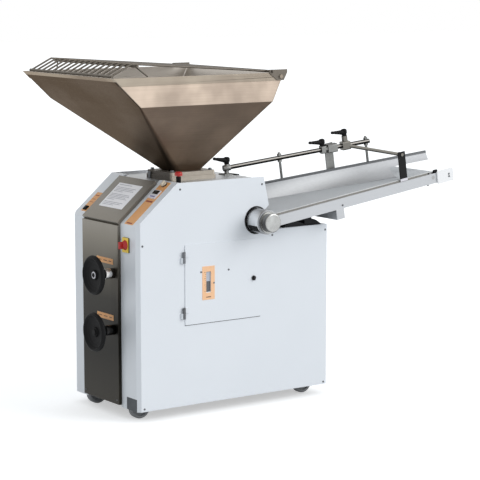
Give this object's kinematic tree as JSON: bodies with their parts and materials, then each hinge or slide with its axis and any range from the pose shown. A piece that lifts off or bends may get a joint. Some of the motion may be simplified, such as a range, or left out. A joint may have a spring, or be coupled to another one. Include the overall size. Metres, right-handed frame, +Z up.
{
  "type": "volumetric dough divider",
  "caption": "Mobile volumetric dough divider with barred hopper, piston dividing head, handwheels, inspection door, sloping belt conveyor and rounding trough",
  "frame": {"origin": "on the floor under the middle of the cabinet", "axes": "+X along the conveyor to its discharge end, +Y to the far side, +Z up"},
  "size_m": [1.935, 0.8046, 1.5906],
  "materials": {
    "white_enamel": "smooth light grey-white enamel",
    "stainless": "brushed stainless sheet",
    "chrome": "bright chrome",
    "steel": "machined steel",
    "cast_iron": "bare casting",
    "dark_paint": "dark grey paint",
    "black_plastic": "matte black",
    "red_plastic": "glossy red",
    "yellow_plastic": "yellow plate",
    "belt_fabric": "woven food belt",
    "black_rubber": "soft black",
    "castor_rubber": "grey tread"
  },
  "bodies": {
    "cabinet": {"near_side_panel": "white_enamel", "far_side_panel": "white_enamel", "front_posts": "white_enamel", "block_cover": "white_enamel", "front_panel": "stainless", "top_cover": "stainless", "chassis_plate": "dark_paint", "hopper_base": "white_enamel", "throat_bolts": "stainless", "hopper": "stainless", "handwheel_bushes": "chrome", "main_switch_base": "yellow_plastic", "stop_base": "black_plastic", "door_hinges": "stainless", "pointer_guide": "stainless", "conveyor_rails": "white_enamel", "belt_bed": "stainless", "conveyor_belt": "belt_fabric", "drum_cap": "chrome", "drum_shroud": "stainless", "cross_member": "stainless", "conveyor_rest": "black_plastic", "end_plates": "stainless", "conveyor_motor": "dark_paint", "trough": "stainless", "guide_bar": "stainless", "trough_posts": "stainless", "strap_bracket": "stainless", "bar_post": "stainless", "castor_mounts": "steel", "head_casting": "cast_iron", "pedestal": "dark_paint", "gear_motor": "dark_paint"},
    "lid": {"lid_grille": "stainless"},
    "door_leaf": {"door": "white_enamel"},
    "lock": {"door_lock": "black_plastic"},
    "main_switch": {"main_switch_knob": "red_plastic"},
    "stop": {"stop_button": "red_plastic"},
    "selector": {"selector_knob": "black_plastic"},
    "weight_wheel": {"weight_handwheel": "black_plastic"},
    "pointer": {"weight_pointer": "black_plastic"},
    "speed_wheel": {"speed_handwheel": "black_plastic"},
    "near_fork": {"near_front_fork": "steel"},
    "far_fork": {"far_front_fork": "steel"},
    "near_front_castor": {"near_front_wheel": "castor_rubber"},
    "far_front_castor": {"far_front_wheel": "castor_rubber"},
    "near_rear_castor": {"near_rear_wheel": "castor_rubber"},
    "far_rear_castor": {"far_rear_wheel": "castor_rubber"},
    "drum": {"drive_drum": "steel"},
    "tail_roller": {"end_roller": "steel"},
    "lever_post": {"post_lever": "black_plastic"},
    "lever_strap": {"strap_lever": "black_plastic"},
    "lever_rod": {"rod_lever": "black_plastic"},
    "cross_arm": {"cross_rod": "stainless"},
    "flap_leaf": {"flap": "black_rubber"},
    "piston": {"main_piston": "steel"},
    "rod_link": {"con_rod": "steel"},
    "cutter": {"knife": "steel"},
    "measure": {"measuring_drum": "steel"},
    "crank": {"crank_disc": "steel"}
  },
  "joints": [
    {"name": "lid_hinge", "type": "hinge", "parent": "cabinet", "child": "lid", "pos_m": [0.156, 0, 1.514], "axis": [0, 1, 0], "range_deg": [0, 75]},
    {"name": "door_hinge", "type": "hinge", "parent": "cabinet", "child": "door_leaf", "pos_m": [-0.282, -0.2723, 0.595], "axis": [0, 0, -1], "range_deg": [0, 110]},
    {"name": "lock_turn", "type": "hinge", "parent": "door_leaf", "child": "lock", "pos_m": [0.099, -0.272, 0.595], "axis": [0, -1, 0], "range_deg": [0, 90]},
    {"name": "main_switch_turn", "type": "hinge", "parent": "cabinet", "child": "main_switch", "pos_m": [-0.545, -0.178, 0.788], "axis": [1, 0, 0], "range_deg": [0, 90]},
    {"name": "stop_press", "type": "slide", "parent": "cabinet", "child": "stop", "axis": [0, 0, -1], "range_m": [0, 0.004], "stiffness_N_per_m": 500, "springref_m": -0.002},
    {"name": "selector_turn", "type": "hinge", "parent": "cabinet", "child": "selector", "pos_m": [-0.32977, -0.189, 1.03994], "axis": [-0.6466, 0, 0.7628], "range_deg": [-45, 45]},
    {"name": "weight_wheel_turn", "type": "hinge", "parent": "cabinet", "child": "weight_wheel", "pos_m": [-0.6, -0.087, 0.652], "axis": [1, 0, 0], "range_deg": [-1800, 1800]},
    {"name": "pointer_rise", "type": "slide", "parent": "cabinet", "child": "pointer", "axis": [0, 0, 1], "range_m": [-0.035, 0.035]},
    {"name": "speed_wheel_turn", "type": "hinge", "parent": "cabinet", "child": "speed_wheel", "pos_m": [-0.6, -0.087, 0.397], "axis": [1, 0, 0], "range_deg": [-1800, 1800]},
    {"name": "near_fork_swivel", "type": "hinge", "parent": "cabinet", "child": "near_fork", "pos_m": [-0.43, -0.172, 0.11], "axis": [0, 0, 1], "continuous": true},
    {"name": "near_front_roll", "type": "hinge", "parent": "near_fork", "child": "near_front_castor", "pos_m": [-0.46, -0.172, 0.05], "axis": [0, 1, 0], "continuous": true},
    {"name": "near_rear_roll", "type": "hinge", "parent": "cabinet", "child": "near_rear_castor", "pos_m": [0.446, -0.172, 0.05], "axis": [0, 1, 0], "continuous": true},
    {"name": "far_fork_swivel", "type": "hinge", "parent": "cabinet", "child": "far_fork", "pos_m": [-0.43, 0.195, 0.11], "axis": [0, 0, 1], "continuous": true},
    {"name": "far_front_roll", "type": "hinge", "parent": "far_fork", "child": "far_front_castor", "pos_m": [-0.46, 0.195, 0.05], "axis": [0, 1, 0], "continuous": true},
    {"name": "far_rear_roll", "type": "hinge", "parent": "cabinet", "child": "far_rear_castor", "pos_m": [0.446, 0.195, 0.05], "axis": [0, 1, 0], "continuous": true},
    {"name": "drum_turn", "type": "hinge", "parent": "cabinet", "child": "drum", "pos_m": [0.115, 0, 0.859], "axis": [0, 1, 0], "continuous": true},
    {"name": "tail_roller_turn", "type": "hinge", "parent": "cabinet", "child": "tail_roller", "pos_m": [1.08993, 0, 0.99949], "axis": [0, 1, 0], "continuous": true},
    {"name": "post_lever_turn", "type": "hinge", "parent": "cabinet", "child": "lever_post", "pos_m": [0.13038, -0.00854, 1.07419], "axis": [0, 0, 1], "range_deg": [-60, 60]},
    {"name": "strap_lever_turn", "type": "hinge", "parent": "cabinet", "child": "lever_strap", "pos_m": [0.60037, -0.12316, 1.16011], "axis": [-0.1426, 0, 0.9898], "range_deg": [-60, 60]},
    {"name": "cross_arm_shift", "type": "slide", "parent": "cabinet", "child": "cross_arm", "axis": [0.9624, -0.2334, 0.1387], "range_m": [-0.02, 0.05]},
    {"name": "rod_lever_turn", "type": "hinge", "parent": "cross_arm", "child": "lever_rod", "pos_m": [0.7109, -0.15094, 1.20432], "axis": [-0.1426, 0, 0.9898], "range_deg": [-60, 60]},
    {"name": "flap_swing", "type": "hinge", "parent": "cross_arm", "child": "flap_leaf", "pos_m": [0.89216, -0.357, 1.12082], "axis": [0, 1, 0], "range_deg": [-30, 30]},
    {"name": "piston_stroke", "type": "slide", "parent": "cabinet", "child": "piston", "axis": [1, 0, 0], "range_m": [0, 0.075]},
    {"name": "wrist_turn", "type": "hinge", "parent": "piston", "child": "rod_link", "pos_m": [-0.307, 0, 0.95], "axis": [0, 1, 0], "range_deg": [-10, 10]},
    {"name": "knife_stroke", "type": "slide", "parent": "cabinet", "child": "cutter", "axis": [1, 0, 0], "range_m": [0, 0.145]},
    {"name": "measure_turn", "type": "hinge", "parent": "cabinet", "child": "measure", "pos_m": [0.038, 0, 0.945], "axis": [0, -1, 0], "range_deg": [0, 90]},
    {"name": "crank_turn", "type": "hinge", "parent": "cabinet", "child": "crank", "pos_m": [-0.392, 0.02, 0.85], "axis": [0, 1, 0], "continuous": true}
  ],
  "couplings": [
    {"joint": "pointer_rise", "follows": "weight_wheel_turn", "m_per_rad": 0.0011},
    {"joint": "tail_roller_turn", "follows": "drum_turn", "ratio": 1}
  ]
}
